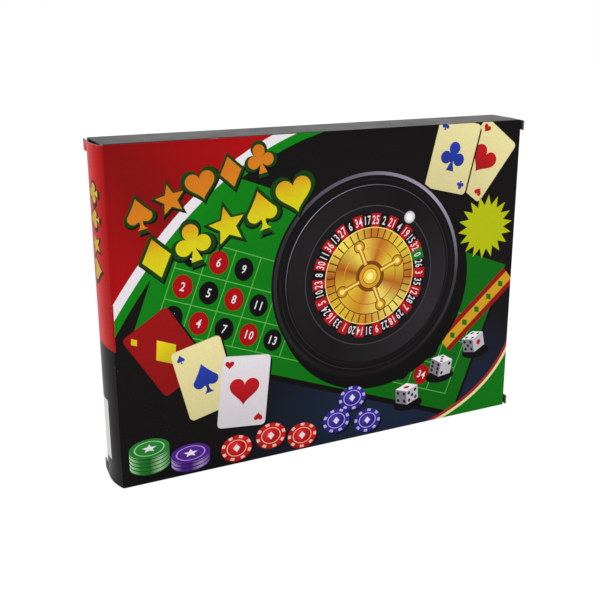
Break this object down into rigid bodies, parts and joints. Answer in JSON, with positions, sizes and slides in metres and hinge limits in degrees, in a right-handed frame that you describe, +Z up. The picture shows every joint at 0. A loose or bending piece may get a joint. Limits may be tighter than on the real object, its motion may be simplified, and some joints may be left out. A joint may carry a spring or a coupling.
{
  "type": "roulette set case",
  "caption": "Reverse tuck end board carton standing on edge, with opening end flaps and a sliding insert that holds a roulette wheel, rake, chips, dice and felt.",
  "frame": {"origin": "middle of the footprint, on the surface that the carton stands on", "axes": "+X right along the front panel, +Y from the front panel to the back panel, +Z up"},
  "size_m": [0.391, 0.0466, 0.28],
  "materials": {
    "front_print": "gloss varnish over print",
    "back_print": "gloss varnish over print",
    "edge_print": "gloss varnish over print",
    "closure_print": "gloss varnish over print",
    "flap_board": "plain board, printed black outside",
    "insert_plastic": "thin formed sheet, satin",
    "bowl_plastic": "polished black",
    "rotor_plastic": "polished black",
    "ring_plastic": "printed red and black with one green field",
    "gold_plastic": "gold metallised",
    "pin_steel": "turned",
    "rake_plastic": "moulded black",
    "stick_wood": "black lacquer",
    "chip_green": "moulded, white edge spots",
    "chip_purple": "moulded, white edge spots",
    "chip_red": "moulded, white edge spots",
    "die_plastic": "white with dark pips",
    "ball_plastic": "polished white",
    "note_paper": "banded pack",
    "felt": "folded green felt",
    "leaflet_paper": "folded sheet"
  },
  "bodies": {
    "case": {"front_panel": "front_print", "back_panel": "back_print", "top_panel": "edge_print", "bottom_panel": "edge_print", "glue_tab": "flap_board"},
    "left_closure": {"left_closure": "closure_print"},
    "left_tuck": {"left_tuck": "flap_board"},
    "left_bottom_dust_flap": {"left_bottom_dust_flap": "flap_board"},
    "left_top_dust_flap": {"left_top_dust_flap": "flap_board"},
    "right_closure": {"right_closure": "closure_print"},
    "right_tuck": {"right_tuck": "flap_board"},
    "right_bottom_dust_flap": {"right_bottom_dust_flap": "flap_board"},
    "right_top_dust_flap": {"right_top_dust_flap": "flap_board"},
    "tray": {"insert_tray": "insert_plastic", "wheel_bowl": "bowl_plastic", "axle_pin": "pin_steel", "rake_head": "rake_plastic", "rake_stick": "stick_wood", "green_chips": "chip_green", "purple_chips": "chip_purple", "red_chips": "chip_red", "dice": "die_plastic", "roulette_balls": "ball_plastic", "note_pack": "note_paper", "felt_layout": "felt", "rules_leaflet": "leaflet_paper"},
    "wheel": {"rotor_disc": "rotor_plastic", "number_ring": "ring_plastic", "wheel_cone": "gold_plastic", "turret": "gold_plastic"}
  },
  "joints": [
    {"name": "tray_slide", "type": "slide", "parent": "case", "child": "tray", "axis": [-1, 0, 0], "range_m": [0, 0.036]},
    {"name": "wheel_spin", "type": "hinge", "parent": "tray", "child": "wheel", "pos_m": [0.04405, 0.0143, 0.14002], "axis": [0, -1, 0], "continuous": true},
    {"name": "left_closure_hinge", "type": "hinge", "parent": "case", "child": "left_closure", "pos_m": [-0.19082, -0.0215, 0.14002], "axis": [0, 0, 1], "range_deg": [0, 150]},
    {"name": "left_tuck_crease", "type": "hinge", "parent": "left_closure", "child": "left_tuck", "pos_m": [-0.19082, 0.0202, 0.14002], "axis": [0, 0, 1], "range_deg": [0, 30]},
    {"name": "left_bottom_dust_crease", "type": "hinge", "parent": "case", "child": "left_bottom_dust_flap", "pos_m": [-0.19082, 0, 0.0005], "axis": [0, -1, 0], "range_deg": [0, 90]},
    {"name": "left_top_dust_crease", "type": "hinge", "parent": "case", "child": "left_top_dust_flap", "pos_m": [-0.19082, 0, 0.27954], "axis": [0, 1, 0], "range_deg": [0, 90]},
    {"name": "right_closure_hinge", "type": "hinge", "parent": "case", "child": "right_closure", "pos_m": [0.19082, 0.0215, 0.14002], "axis": [0, 0, 1], "range_deg": [0, 150]},
    {"name": "right_tuck_crease", "type": "hinge", "parent": "right_closure", "child": "right_tuck", "pos_m": [0.19082, -0.0202, 0.14002], "axis": [0, 0, 1], "range_deg": [0, 30]},
    {"name": "right_bottom_dust_crease", "type": "hinge", "parent": "case", "child": "right_bottom_dust_flap", "pos_m": [0.19082, 0, 0.0005], "axis": [0, 1, 0], "range_deg": [0, 90]},
    {"name": "right_top_dust_crease", "type": "hinge", "parent": "case", "child": "right_top_dust_flap", "pos_m": [0.19082, 0, 0.27954], "axis": [0, -1, 0], "range_deg": [0, 90]}
  ],
  "couplings": [
    {"joint": "left_closure_hinge", "follows": "tray_slide", "rad_per_m": 72.722},
    {"joint": "left_tuck_crease", "follows": "tray_slide", "rad_per_m": 14.544},
    {"joint": "left_bottom_dust_crease", "follows": "tray_slide", "rad_per_m": 43.633},
    {"joint": "left_top_dust_crease", "follows": "tray_slide", "rad_per_m": 43.633},
    {"joint": "right_tuck_crease", "follows": "right_closure_hinge", "ratio": 0.2},
    {"joint": "right_bottom_dust_crease", "follows": "right_closure_hinge", "ratio": 0.6},
    {"joint": "right_top_dust_crease", "follows": "right_closure_hinge", "ratio": 0.6}
  ]
}
